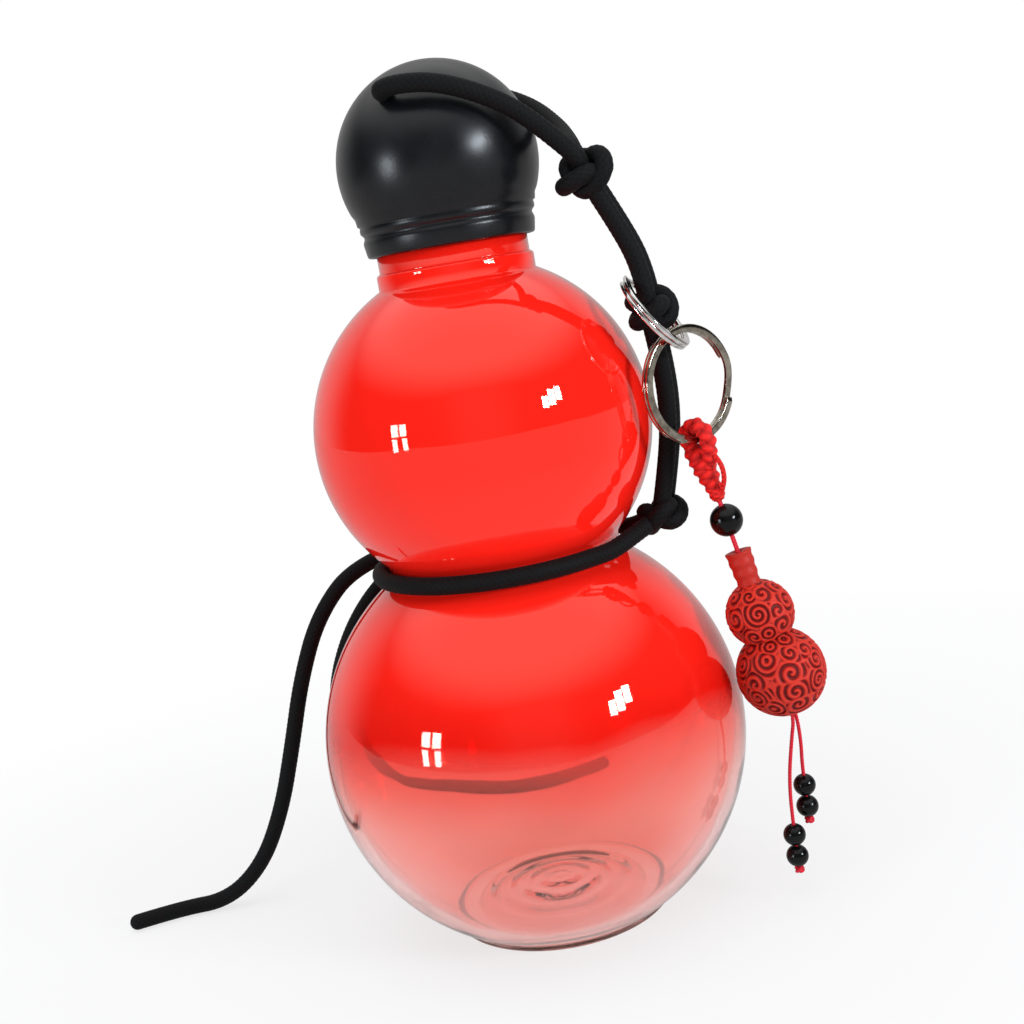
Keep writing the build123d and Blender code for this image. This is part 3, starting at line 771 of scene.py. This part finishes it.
def waist_strand(name, node_name, last_azimuth, side):
    """A strand round the waist, that leaves it on a tangent to the knot at each end."""
    radius = waist_radius - waist_fillet + cord_radius + cord_glass_gap
    first = waist_knot_azimuth + side * degrees(acos(radius / waist_knot.xy.length))
    last = last_azimuth - side * degrees(acos(radius / back_knot.xy.length))
    steps = 90
    ring = [polar(radius, first + (last - first) * k / steps, waist_height) for k in range(steps + 1)]
    lead = ring[0] + (ring[0] - ring[1]).normalized() * waist_rise_run
    start = [waist_knot, waist_knot.lerp(lead, 0.5), lead, lead.lerp(ring[0], 0.6)]
    made = joined(name, [braid_arrays(smooth_path(start + ring + [back_knot]), cord_radius)], black_yarn)
    declare(made, "harness", "black_cord", node_name)


# Rings

def wire_section():
    """The flat wire's section, with round corners."""
    w, h = wire_width / 2, (wire_thickness / 2 - coil_gap) / 2
    section = []
    for quarter, (sx, sy) in enumerate(((1, 1), (-1, 1), (-1, -1), (1, -1))):
        for k in range(5):
            angle = (quarter + k / 4) * pi / 2
            section.append((
                sx * (w - wire_corner) + wire_corner * cos(angle),
                sy * (h - wire_corner) + wire_corner * sin(angle),
            ))
    return section


def split_ring(name, body, centre, x_dir, z_dir, radius, steel):
    """A flat wire wound twice, with the step where it crosses and two cut ends."""
    middle = radius - wire_width / 2
    offset = wire_thickness / 4 + coil_clearance
    bridge = radians(coil_bridge)
    gap = wire_end_gap / middle
    full = 2 * pi - bridge - gap
    steps = 420
    section = wire_section()
    points = []
    for k in range(steps + 1):
        run = (2 * full + bridge) * k / steps
        angle = run - full - bridge / 2 - gap
        lift = offset * (2 * eased(min(max((run - full) / bridge, 0.0), 1.0)) - 1)
        taper = min(1.0, (k + 1.5) / 4, (steps - k + 1.5) / 4)
        for out, up in section:
            r = middle + out * (0.8 + 0.2 * taper)
            points.append((r * cos(angle), r * sin(angle), lift + up * taper))
    x, z = x_dir.normalized(), z_dir.normalized()
    points = np.array(points) @ np.array([x, z.cross(x), z]) + np.array(centre)
    made = mesh_object(name, points, grid_faces(steps + 1, len(section), ends=True), steel)
    declare(made, body, "ring_steel", body)


def small_ring_frame():
    """The small ring's centre, its way down the chain and its level axis."""
    out = bearing(chain_azimuth)
    dip = radians(small_ring_dip)
    down = out * cos(dip) - UP * sin(dip)
    return polar(small_ring_out, chain_azimuth, small_ring_height), down, UP.cross(out)


def key_ring_centre():
    """The key ring hangs in the small ring's lowest wire."""
    centre, down, _ = small_ring_frame()
    dip = radians(small_ring_dip)
    wire_height = wire_width * sin(dip) + wire_thickness * cos(dip)
    lift = (wire_height + wire_width) / 2 + link_gap
    low = centre + down * (small_ring_radius - wire_width / 2)
    return low + UP * (lift - key_ring_radius + wire_width / 2)


# Charm

def charm_frame():
    """The charm's axes and origin: its Z runs up from the key ring's lowest wire."""
    tilt = radians(charm_tilt)
    out = bearing(chain_azimuth)
    x = out * cos(tilt) + UP * sin(tilt)
    z = UP * cos(tilt) - out * sin(tilt)
    origin = key_ring_centre() - UP * (key_ring_radius - wire_width / 2)
    return np.array([x, z.cross(x), z]), np.array(origin)


charm_axes, charm_origin = charm_frame()


def in_charm(points):
    """Local charm points in the bottle's frame."""
    return np.asarray(points) @ charm_axes + charm_origin


def in_loop(points):
    """Points of the plane square to the key ring's wire, in the bottle's frame."""
    turn = radians(key_ring_azimuth - 90 - chain_azimuth)
    return in_charm([(x * cos(turn), x * sin(turn), z) for x, z in points])


def ball(radius, rows=40, sides=72, bore=0.0, relief=0.0):
    """Points, faces and relief of a ball, bored along Z or, without a bore, wound with yarn."""
    first = asin(bore / radius)
    p, a = np.meshgrid(np.linspace(first, pi - first, rows), circle(sides), indexing="ij")
    height = braid_height(p * radius, a, carriers=4, pitch=1.6)
    r = radius - relief * (1 - height)
    points = np.stack([r * np.sin(p) * np.cos(a), r * np.sin(p) * np.sin(a), r * np.cos(p)], -1)
    faces = grid_faces(rows, sides, closed_rows=bore > 0, ends=bore == 0)
    return points.reshape(-1, 3), [face[::-1] for face in faces], height.reshape(-1)


def charm_loop():
    """The braid over the key ring, thick on one side, and the thread that closes it on the other."""
    body = smooth_path(in_loop(braid_route), spacing=0.16)
    width = np.interp(np.linspace(0, 1, len(body)), braid_shares, braid_radii)
    braid = braid_arrays(body, width, sides=56, carriers=2, pitch=2.9, relief=1.0)
    side = smooth_path(in_loop(braid_side_route), spacing=0.2)
    thin = braid_arrays(side, braid_side_radius, sides=20, carriers=2, pitch=1.3, relief=0.2)
    declare(joined("charm_braid", [braid, thin], red_yarn), "charm", "red_braid", "charm_loop")
    points, faces, relief = ball(gather_ball_radius, rows=48, sides=64, relief=gather_relief)
    points = in_charm(points - [0, 0, gather_ball_drop])
    declare(mesh_object("charm_gather", points, faces, red_yarn, relief), "charm", "red_braid")


def scroll_cells():
    """Turn, run, pitch, start, hand and size of the carved curls, set out unevenly."""
    rng = np.random.default_rng(7)
    cells, run, end, row = [], 1.0, 60, 5.0
    while run < end:
        columns = int(rng.integers(8, 11))
        first = rng.random()
        for column in range(columns):
            hand = rng.choice([-1, 0, 1], p=[0.4, 0.2, 0.4])
            cells.append((
                (column + first + rng.uniform(-0.22, 0.22)) / columns, run + rng.uniform(-1.1, 1.1),
                rng.uniform(1.5, 2.3), rng.uniform(0, 2 * pi), hand, rng.uniform(0.75, 1.25),
            ))
        run += row
    return cells


def scroll_relief(angle, run, radius):
    """Carved scrolls, 0 to 1: each place belongs to the curl whose centre is nearest."""
    value = np.zeros(angle.shape)
    best, second = np.full(angle.shape, 1e9), np.full(angle.shape, 1e9)
    narrowest, border_width, border_value = 4.5, 0.9, 0.75
    across = 2 * pi * np.maximum(radius, narrowest)
    for place, height, pitch, start, hand, size in scroll_cells():
        turn = (angle / (2 * pi) - place + 0.5) % 1.0 - 0.5
        x, y = turn * across, run - height
        distance = np.hypot(x, y)
        curl = 0.5 + 0.5 * np.cos(2 * pi * distance / pitch - hand * np.arctan2(y, x) + start)
        measure = distance / size
        closer = measure < best
        second = np.where(closer, best, np.minimum(second, measure))
        value = np.where(closer, curl, value)
        best = np.where(closer, measure, best)
    border = np.clip((second - best) / border_width, 0, 1)
    return value * border + (1 - border) * border_value


def pendant_outline():
    """The gourd's outline, and the height where its neck meets the upper ball."""
    upper, lower = (0, -pendant_upper_drop), (0, -pendant_lower_drop)
    spacing = pendant_lower_drop - pendant_upper_drop
    below = (spacing**2 + pendant_upper_radius**2 - pendant_lower_radius**2) / (2 * spacing)
    waist = (reach(pendant_upper_radius, below), upper[1] - below)
    foot = (reach(pendant_lower_radius, pendant_foot_drop - pendant_lower_drop), -pendant_foot_drop)
    upper_side, lower_side = (pendant_upper_radius, upper[1]), (pendant_lower_radius, lower[1])
    low, low_height = pendant_neck_waist, upper[1] + reach(pendant_upper_radius, pendant_neck_waist)
    high, high_height = pendant_neck_radius, -pendant_drop
    line = [(pendant_bore, high_height - pendant_bore_depth), (pendant_bore, high_height)]
    line += [(high, high_height)]
    steps = 30
    for k in range(1, steps + 1):
        share = k / steps
        ring = neck_ring_rise * cos(share * neck_rings * 2 * pi) - neck_ring_inset
        line.append((high + (low - high) * share + ring,
                     high_height + (low_height - high_height) * share))
    line += arc(line[-1], upper_side, upper, pendant_upper_radius, pendant_step)
    line += arc(upper_side, waist, upper, pendant_upper_radius, pendant_step)
    line += arc(waist, lower_side, lower, pendant_lower_radius, pendant_step)
    line += arc(lower_side, foot, lower, pendant_lower_radius, pendant_step)
    line += [(pendant_bore, foot[1]), (pendant_bore, foot[1] + pendant_bore_depth)]
    return np.array(line), low_height


def pendant():
    """The small carved gourd."""
    line, neck_foot = pendant_outline()
    groove_level, contrast, plain_radius, plain_shade = 0.14, 1.6, 2.0, 0.7
    angle = np.repeat(circle(300)[None, :], len(line), 0)
    columns = (*line.T, run_along(line))
    radii, heights, run = (np.repeat(column[:, None], angle.shape[1], 1) for column in columns)
    sharp = np.clip((scroll_relief(angle, run, radii) - groove_level) * contrast, 0, 1)
    zone = np.clip((neck_foot - heights) / carving_top_fade, 0, 1)
    zone = zone * np.clip((heights + pendant_foot_drop) / carving_foot_fade, 0, 1)
    zone = zone * np.where(radii > plain_radius, 1.0, 0.0)
    radii = radii - carving_depth * (1 - sharp) * zone
    points = np.stack([radii * np.cos(angle), radii * np.sin(angle), heights], -1).reshape(-1, 3)
    # The relief drives painted shade in the carving's grooves; uncarved parts take a middle level of it.
    relief = np.where(zone > 0.01, sharp, plain_shade).reshape(-1)
    faces = grid_faces(*angle.shape, closed_rows=True)
    made = mesh_object("charm_gourd", in_charm(points), faces, cinnabar, relief)
    declare(made, "charm", "cinnabar", "charm_pendant")


def thread_place(point):
    """A thread's point, given about the chain's azimuth, in the bottle's frame."""
    out, aside, height = point
    return polar(out, chain_azimuth, height) + UP.cross(bearing(chain_azimuth)) * aside


def red_cord(name, path, radius, relief, *nodes, closed=False):
    """A stretch of the charm's waxed thread."""
    arrays = braid_arrays(path, radius, closed=closed, sides=14, carriers=2, pitch=0.9, relief=relief)
    return declare(joined(name, [arrays], red_thread), "charm", "red_thread", *nodes)


def thread(side, route, sign):
    """One waxed thread, from the braid to the small knot that stops its beads."""
    name = "charm_thread_long_" + side
    top, leave = (
        Vector(in_charm((0, sign * thread_offset, -drop)))
        for drop in (gather_drop + gather_radius / 2, pendant_foot_drop + small_bead_gap)
    )
    places = [top, top.lerp(leave, 0.5), leave] + [thread_place(p) for p in route]
    path = smooth_path(places, spacing=0.22)
    made = red_cord(name, path, thread_radius, 0.12, "charm_thread_" + side)
    loop = knot_loop(thread_place(route[-1]), UP, stop_knot_form, count=120)
    red_cord(name + "_stop", loop, stop_knot_thread, 0.08, closed=True)


def small_beads(side, route, top):
    """Two bored beads, one above the other, on a thread's last stretch."""
    foot = thread_place(route[-1])
    points, faces, _ = ball(small_bead_radius, bore=thread_radius + bead_play)
    for number in (0, 1):
        place = [foot.x, foot.y, top - (2 * small_bead_radius + small_bead_gap) * number]
        made = mesh_object(f"tassel_bead_{side}_{number + 1}", points + place, faces, black_bead)
        declare(made, "charm", "black_bead", "tassel_beads_" + side)


def big_bead():
    """The bored bead above the pendant."""
    points, faces, _ = ball(bead_radius, bore=thread_offset + thread_radius + bead_play)
    points = in_charm(points - [0, 0, bead_drop])
    made = mesh_object("charm_bead_ball", points, faces, black_bead)
    declare(made, "charm", "black_bead", "charm_bead")


# Stage

def seen_directly(tree):
    """1 for a ray of the camera, a mirror or glass, and 0 for a ray that only lights."""
    rays = node(tree, "ShaderNodeLightPath").outputs
    seen = maths(tree, "MAXIMUM", rays["Is Camera Ray"], rays["Is Glossy Ray"])
    return maths(tree, "MAXIMUM", seen, rays["Is Transmission Ray"])


def floor():
    """A pale floor, plainer white further out and through glass, and dimmer in mirrors."""
    made, tree, shader = new_material(
        "floor_pale", Base_Color=(0.84, 0.84, 0.84, 1), Roughness=0.9, Specular_IOR_Level=0.05,
    )
    rays = node(tree, "ShaderNodeLightPath").outputs
    place = node(tree, "ShaderNodeNewGeometry").outputs["Position"]
    distance = node(tree, "ShaderNodeVectorMath", {0: place}, operation="LENGTH").outputs["Value"]
    far = mapped(tree, distance, (0.12, 0.36), (0.72, 1.0))
    through = maths(tree, "MULTIPLY", rays["Is Transmission Ray"], 0.9)
    plain = maths(tree, "MAXIMUM", maths(tree, "MULTIPLY", seen_directly(tree), far), through)
    mirror_only = maths(tree, "SUBTRACT", rays["Is Glossy Ray"], rays["Is Transmission Ray"])
    glow = node(tree, "ShaderNodeEmission", {
        "Color": white, "Strength": mapped(tree, mirror_only, (0.0, 1.0), (1.0, 0.5)),
    })
    tree.links.new(mixed(tree, plain, shader, glow), tree.nodes["Material Output"].inputs["Surface"])
    data = bpy.data.meshes.new("floor")
    corners = ((-1, -1), (1, -1), (1, 1), (-1, 1))
    data.from_pydata([(x * floor_half_size, y * floor_half_size, 0) for x, y in corners], [], [(0, 1, 2, 3)])
    add_object("floor", data, made)


def world_light():
    """Soft even light, a white background, and in mirrors a dim room with a bright backdrop and ceiling."""
    world = bpy.data.worlds.new("studio")
    bpy.context.scene.world = world
    world.use_nodes = True
    tree = world.node_tree
    tree.nodes.clear()
    rays = node(tree, "ShaderNodeLightPath").outputs
    place = node(tree, "ShaderNodeTexCoord").outputs["Generated"]
    axes = node(tree, "ShaderNodeSeparateXYZ", {0: place}).outputs
    backdrop = mapped(tree, axes["Y"], (0.15, 0.7), (0.03, 0.55), "SMOOTHSTEP")
    ceiling = mapped(tree, axes["Z"], (0.42, 0.8), (0.0, 1.15), "SMOOTHSTEP")
    wall = mapped(tree, maths(tree, "ABSOLUTE", axes["X"]), (0.1, 0.55), (0.2, 0.03), "SMOOTHSTEP")
    room = maths(tree, "MAXIMUM", maths(tree, "MAXIMUM", backdrop, wall), ceiling)
    level = maths(tree, "MULTIPLY", rays["Is Glossy Ray"], room)
    for direct in ("Is Camera Ray", "Is Transmission Ray"):
        level = maths(tree, "MAXIMUM", level, rays[direct])
    soft = node(tree, "ShaderNodeBackground", {"Color": white, "Strength": 0.6})
    shown = node(tree, "ShaderNodeBackground", {"Color": white, "Strength": level})
    node(tree, "ShaderNodeOutputWorld", {"Surface": mixed(tree, seen_directly(tree), soft, shown)})


def lamp(name, direction, distance, energy, lean, panes):
    """Lamps that face the bottle, one for each pane of a window."""
    direction = Vector(direction)
    total = sum(width * height for _, _, width, height in panes)
    facing = direction.to_track_quat("Z", "Y") @ Quaternion((0, 0, 1), radians(lean))
    for number, (across, up, width, height) in enumerate(panes):
        data = bpy.data.lights.new(f"{name}_{number + 1}", "AREA")
        data.shape = "RECTANGLE"
        data.size = width
        data.size_y = height
        data.energy = energy * width * height / total
        data.color = lamp_colour
        made = add_object(data.name, data)
        made.location = lamp_target + direction.normalized() * distance + facing @ Vector((across, up, 0))
        made.rotation_mode = "QUATERNION"
        made.rotation_quaternion = facing
        made.visible_camera = False
        made.visible_glossy = name != "ceiling"


def camera():
    """The camera, turned by its yaw and pitch, and then rolled."""
    data = bpy.data.cameras.new("camera")
    data.lens = camera_lens
    data.sensor_width = camera_sensor
    made = add_object("camera", data)
    level = Vector((sin(camera_yaw), cos(camera_yaw), 0)) * cos(camera_pitch)
    forward = level - UP * sin(camera_pitch)
    right = Vector((cos(camera_yaw), -sin(camera_yaw), 0))
    up = right.cross(forward)
    across = right * cos(camera_roll) + up * sin(camera_roll)
    upright = up * cos(camera_roll) - right * sin(camera_roll)
    turned = Matrix((across, upright, -forward)).transposed().to_4x4()
    made.matrix_world = Matrix.Translation(camera_place) @ turned
    bpy.context.scene.camera = made


def cords():
    """The cap's loop, the tether, the tails, the four knots and the waist's two strands."""
    upper, lower = strand_routes(upper_tether_route), strand_routes(lower_tether_route)
    black_cord("cap_loop", "cap_cord", cap_cord_route, cap_cord_blend)
    for place, routes, body in (("upper", upper, upper_tether_blend), ("lower", lower, "harness")):
        for side, route in zip(("near", "far"), routes):
            node_name = f"tether_{place}_{side}"
            black_cord(node_name + "_braid", node_name, route, body)
    for node_name, route in (("left_tail", left_tail_route), ("back_tail", back_tail_route)):
        black_cord(node_name + "_braid", node_name, route, round_end=True)
    into_cap_knot = [cap_cord_route[1::-1], cap_cord_route[-2:], upper[0][1::-1], upper[1][1::-1]]
    into_ring_knot = [upper[0][-2:], upper[1][-2:], lower[0][1::-1], lower[1][1::-1]]
    into_back_knot = [left_tail_route[1::-1], back_tail_route[1::-1]]
    back_axis = bearing(back_knot_azimuth)
    tight_knot("cap_knot", "tether_top", cap_knot, cap_knot_axis, cap_knot_form, into_cap_knot)
    tight_knot("ring_knot", "harness", ring_knot, ring_knot_axis, ring_knot_form, into_ring_knot)
    into_waist_knot = [lower[0][-2:], lower[1][-2:]]
    tight_knot("waist_knot", "harness", waist_knot, waist_knot_axis, waist_knot_form, into_waist_knot)
    tight_knot("back_knot", "harness", back_knot, back_axis, back_knot_form, into_back_knot)
    waist_strand("waist_front_braid", "waist_cord_front", back_knot_azimuth - 360, -1)
    waist_strand("waist_back_braid", "waist_cord_back", back_knot_azimuth, 1)


def rings():
    centre, down, along = small_ring_frame()
    face = down.cross(along)
    split_ring("small_split_ring", "small_ring", centre, -down, face, small_ring_radius, painted_reflection_steel)
    level = bearing(key_ring_azimuth)
    face = level.cross(UP)
    split_ring("key_split_ring", "key_ring", key_ring_centre(), level, face, key_ring_radius, painted_shade_steel)


def charm():
    charm_loop()
    big_bead()
    pendant()
    thread("right", right_thread_route, 1)
    thread("left", left_thread_route, -1)
    small_beads("right", right_thread_route, right_bead_top)
    small_beads("left", left_thread_route, left_bead_top)


camera()
floor()
world_light()
for lamp_name, lamp_form in lamps.items():
    lamp(lamp_name, *lamp_form)
cords()
flask()
neck_thread()
cap_ball()
for node_name, material in (("cap_insert", insert_black), ("cap_gasket", silicone)):
    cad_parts[node_name].data.materials.clear()
    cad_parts[node_name].data.materials.append(material)
rings()
charm()
bpy.context.scene.view_settings.view_transform = "Standard"
